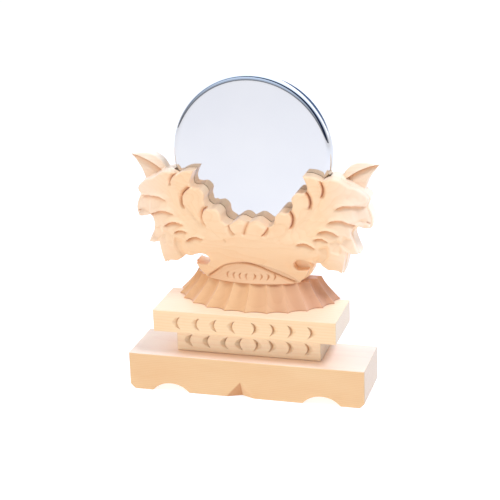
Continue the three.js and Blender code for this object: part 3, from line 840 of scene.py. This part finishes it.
def build_rear_board():
    low, high = node_box("rear_board")
    mirror_low, mirror_high = node_box("mirror")
    foot = low[2] - GLUE_LINE
    centre_height = (mirror_low[2] + mirror_high[2]) / 2 - foot
    outline = back_outline("rear_board") - [0, foot]
    outline = smoothed_outline(outline, corner=26, spacing=0.38, rounding=0.22)
    turns = np.linspace(-150, -30, 200)
    arc = np.column_stack([np.cos(np.radians(turns)), np.sin(np.radians(turns))])
    creases = []
    for radius in (POCKET_RADIUS, POCKET_RADIUS + POCKET_WALL):
        circle = arc * radius + [0, centre_height]
        inner = [abs(x) < 31 for x, _ in circle]
        creases.append(circle[inner])
    points, faces = sheet(outline, 0.36, creases)
    x, z = points.T
    half = np.column_stack([np.abs(x), z])
    away = np.hypot(x, z - centre_height)
    depth = np.full(len(points), low[1])
    above = smooth(beside(half, eased(HORN_STEP, 0.7))[0] / 0.5) * (np.abs(x) > 38)
    crease = stepped(half, HORN_CREASE, lift=0.9, drop=1.9, band=4.0, reach=4.5, ease=0.12)[0]
    depth += (HORN_SETBACK + crease) * above
    under = np.minimum(beside(half, eased(HORN_CREASE, 0.7))[0], 0)
    # painted shade under each horn's crease
    cut = smooth(-under / 0.4) * (0.12 + 0.7 * np.exp(under / 1.2)) * above
    slot_back = mirror_high[1] + SLOT_GAP
    depth = np.where(away < POCKET_RADIUS + POCKET_WALL / 2, slot_back, depth)
    gap = edge_distance(points, outline)
    soft = np.where(away < POCKET_RADIUS + 1, 0.2, 0.6)
    depth = np.minimum(depth + rounded(gap, soft) + tool_marks(points, 7, 0.05, 4), high[1] - 0.6)
    back = high[1] - rounded(gap, 0.5) * (z > 0.8)
    placed = points + [0, foot]
    piece = carved_plate("carved_rear_board", "rear_board", placed, faces, depth, back, cut)
    dress(piece, REAR_WOOD)


# ---- mirror --------------------------------------------------------------------------------------

RIM_STEPS = 256
FRONT_ARRIS = 2.5
REAR_ARRIS = 1.1
RIM_CROWN = 0.14  # how far the middle of the rim swells beyond its edges


def polished_metal():
    material, nodes, inputs = new_material("polished_nickel")
    place = nodes.place()
    cloud = nodes.noise(place, 0.03, Detail=2.0)["Fac"]
    color = nodes.ramp(cloud, [(0.3, (0.685, 0.655, 0.625)), (0.7, (0.715, 0.68, 0.64))])
    nodes.feed(inputs["Base Color"], color)
    # faint wiping marks, long along X
    wipe = nodes.noise(nodes.vector("MULTIPLY", place, (0.4, 1, 6)), 1.0, Detail=3.0)["Fac"]
    nodes.feed(inputs["Roughness"], nodes.ranged(wipe, 0, 1, 0.025, 0.07))
    bump = nodes.add("Bump", {"Height": wipe, "Strength": 0.04, "Distance": 0.00001})
    nodes.feed(inputs["Normal"], bump.outputs["Normal"])
    inputs["Metallic"].default_value = 1.0
    return material


def build_mirror():
    """A disc turned from one section, with a rounded rim."""
    low, high = node_box("mirror")
    radius = (high[0] - low[0]) / 2
    middle = (low + high) / 2
    bend = np.linspace(0, np.pi / 2, 9)
    edge = radius - RIM_CROWN
    front, rear = low[1] + FRONT_ARRIS, high[1] - REAR_ARRIS
    # the section from the middle of the front, round the rim, to the middle of the back: [r, y]
    profile = [(r, low[1]) for r in (0, 8, 18, 28, edge - FRONT_ARRIS - 0.6)]
    profile += [(edge - FRONT_ARRIS * (1 - np.sin(a)), front - FRONT_ARRIS * np.cos(a)) for a in bend]
    profile += [(edge + RIM_CROWN * 4 * t * (1 - t), front + t * (rear - front))
                for t in np.linspace(0, 1, 13)[1:-1]]
    profile += [(edge - REAR_ARRIS * (1 - np.cos(a)), rear + REAR_ARRIS * np.sin(a)) for a in bend]
    profile += [(r, high[1]) for r in (edge - REAR_ARRIS - 0.6, 28, 18, 8, 0)]
    turns = 2 * np.pi * np.arange(RIM_STEPS) / RIM_STEPS
    vertices = [(middle[0], low[1], middle[2])]
    for r, y in profile[1:-1]:
        vertices += [(middle[0] + r * math.cos(a), y, middle[2] + r * math.sin(a)) for a in turns]
    vertices.append((middle[0], high[1], middle[2]))
    last = len(vertices) - 1
    faces = []
    for i in range(RIM_STEPS):
        j = (i + 1) % RIM_STEPS
        faces.append((0, 1 + i, 1 + j))
        for ring in range(len(profile) - 3):
            a, b = 1 + ring * RIM_STEPS, 1 + (ring + 1) * RIM_STEPS
            faces.append((a + i, b + i, b + j, a + j))
        top = 1 + (len(profile) - 3) * RIM_STEPS
        faces.append((top + i, last, top + j))
    piece = mesh_object("polished_disc", vertices, faces, "mirror")
    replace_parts(piece, "mirror")
    dress(piece, polished_metal())


build_base()
build_slabs()
build_skirt()
build_front_board()
build_rear_board()
build_mirror()

for dowel in ("dowel_left", "dowel_right"):
    dress(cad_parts[dowel], DOWEL_WOOD)

# ---- studio --------------------------------------------------------------------------------------

FLOOR_HALF = 6.0
TABLE_GLOW = (0.74, 0.635)  # by the object, and away from it


def build_floor():
    """A table that glows, a little brighter round the object, where the glow fills in its shadow.
    It lies 0.02 mm under the object.
    """
    corners = [(-1, -1), (1, -1), (1, 1), (-1, 1)]
    points = [(x * FLOOR_HALF, y * FLOOR_HALF, -0.00002) for x, y in corners]
    mesh = bpy.data.meshes.new("studio_floor")
    mesh.from_pydata(points, [], [(0, 1, 2, 3)])
    floor = bpy.data.objects.new("studio_floor", mesh)
    bpy.context.scene.collection.objects.link(floor)
    material, nodes, inputs = new_material("white_sweep")
    inputs["Base Color"].default_value = (0.42, 0.42, 0.43, 1)
    inputs["Roughness"].default_value = 0.7
    inputs["Emission Color"].default_value = (1, 0.985, 0.965, 1)
    away = nodes.vector("LENGTH", nodes.add("TexCoord").outputs["Object"])
    nodes.feed(inputs["Emission Strength"], nodes.ranged(away, 0.15, 0.6, *TABLE_GLOW, "SMOOTHSTEP"))
    mesh.materials.append(material)


# how bright the surroundings are: everywhere, and more towards each of these directions
SKY_EVERYWHERE = (0.16, 0.152, 0.145)
SKY_TOWARDS = [
    ((0, 1, 0), (0.50, 0.57, 0.72)),
    ((0, 0, 1), (0.72, 0.98, 1.42)),
]
BACKDROP = {"towards": (0, 1, 0), "color": (1.0, 1.05, 1.15)}  # which only shows in reflections
# a dark gap between the overhead panels, which only the mirror's rim shows, and a dark post behind
GAP_SIDE = {"x": (-0.7, 0.9), "y": (-0.12, -0.52), "half": (0.08, 0.42)}
GAP_COLOR = (0.012, 0.024, 0.07)
POST = {"towards": (0.252, 0.956, 0.151), "edge": (0.93, 0.955), "color": (0.10, 0.17, 0.34)}
WHITE_BEHIND = 1.1  # what the camera sees beyond the floor


def build_sky():
    world = bpy.data.worlds.new("soft_studio")
    bpy.context.scene.world = world
    world.use_nodes = True
    world.node_tree.nodes.clear()
    nodes = Nodes(world.node_tree)
    direction = nodes.add("TexCoord").outputs["Generated"]
    path = nodes.add("LightPath").outputs

    def facing(towards):
        return nodes.vector("DOT_PRODUCT", direction, towards)

    light = SKY_EVERYWHERE
    for towards, amount in SKY_TOWARDS:
        spread = nodes.ranged(facing(towards), -0.2, 1.0, curve="SMOOTHSTEP")
        light = nodes.vector("MULTIPLY_ADD", spread, amount, light)
    reflected = path["Is Glossy Ray"]
    spread = nodes.ranged(facing(BACKDROP["towards"]), -0.2, 1.0, 0.0, reflected, "SMOOTHSTEP")
    light = nodes.vector("MULTIPLY_ADD", spread, BACKDROP["color"], light)

    # the gap is a band that leans and widens towards +X, above the horizon only
    x, y, z = nodes.add("SeparateXYZ", {0: direction}).outputs
    middle, half = (nodes.ranged(x, *GAP_SIDE["x"], *GAP_SIDE[key]) for key in ("y", "half"))
    off = nodes.number("ABSOLUTE", nodes.number("SUBTRACT", y, middle))
    within = nodes.ranged(nodes.number("DIVIDE", off, half), 1.0, 0.7)
    gap = nodes.number("MULTIPLY", within, nodes.ranged(z, -0.02, 0.04))
    light = nodes.mixed(gap, light, GAP_COLOR)
    post = nodes.ranged(facing(POST["towards"]), *POST["edge"])
    light = nodes.mixed(post, light, POST["color"])

    sky = nodes.add("Background", {"Color": light}).outputs[0]
    white = nodes.add("Background", {"Color": (1, 1, 1, 1), "Strength": WHITE_BEHIND}).outputs[0]
    shown = nodes.add("MixShader", {0: path["Is Camera Ray"], 1: sky, 2: white}).outputs[0]
    nodes.add("OutputWorld", {"Surface": shown})


LIGHTS = [
    # name, place, size, watts, colour
    ("window_right", (0.55, -0.2, 0.95), 0.35, 7.5, (0.82, 1.0, 1.4)),
    ("fill_left", (-0.9, -0.45, 0.85), 0.5, 4.3, (1.0, 0.93, 0.84)),
    ("front_low", (0.15, -0.95, 0.2), 0.4, 0.7, (1.0, 0.90, 0.76)),
]


def build_lights():
    aim = Vector((0, 0, 0.07))
    for name, place, size, watts, color in LIGHTS:
        lamp = bpy.data.lights.new(name, "AREA")
        lamp.shape = "DISK"
        lamp.size = size
        lamp.energy = watts
        lamp.color = color
        light = bpy.data.objects.new(name, lamp)
        light.location = place
        light.visible_glossy = False  # the rim mirrors the sky, and not the lamps
        light.rotation_mode = "QUATERNION"
        light.rotation_quaternion = (aim - Vector(place)).to_track_quat("-Z", "Y")
        bpy.context.scene.collection.objects.link(light)


CAMERA = {"azimuth": 16.532, "elevation": 19.264, "roll": -1.993, "lens": 106.71,
          "target": (0.276, 0, 67.74), "distance": 680.014}


def build_camera():
    azimuth, elevation, roll = (math.radians(CAMERA[k]) for k in ("azimuth", "elevation", "roll"))
    level = math.cos(elevation)
    forward = Vector((-math.sin(azimuth) * level, math.cos(azimuth) * level, -math.sin(elevation)))
    right = Vector((math.cos(azimuth), math.sin(azimuth), 0))
    up = right.cross(forward)
    turned_right = math.cos(roll) * right + math.sin(roll) * up
    turned_up = math.cos(roll) * up - math.sin(roll) * right
    lens = bpy.data.cameras.new("photo_view")
    lens.lens = CAMERA["lens"]
    lens.sensor_width = 36
    lens.clip_start = 0.05
    lens.clip_end = 50
    camera = bpy.data.objects.new("photo_view", lens)
    place = Vector(CAMERA["target"]) * MM - forward * CAMERA["distance"] * MM
    axes = Matrix((turned_right, turned_up, -forward)).transposed()
    camera.matrix_world = Matrix.Translation(place) @ axes.to_4x4()
    bpy.context.scene.collection.objects.link(camera)
    bpy.context.scene.camera = camera


build_floor()
build_sky()
build_lights()
build_camera()
bpy.context.scene.view_settings.view_transform = "Standard"
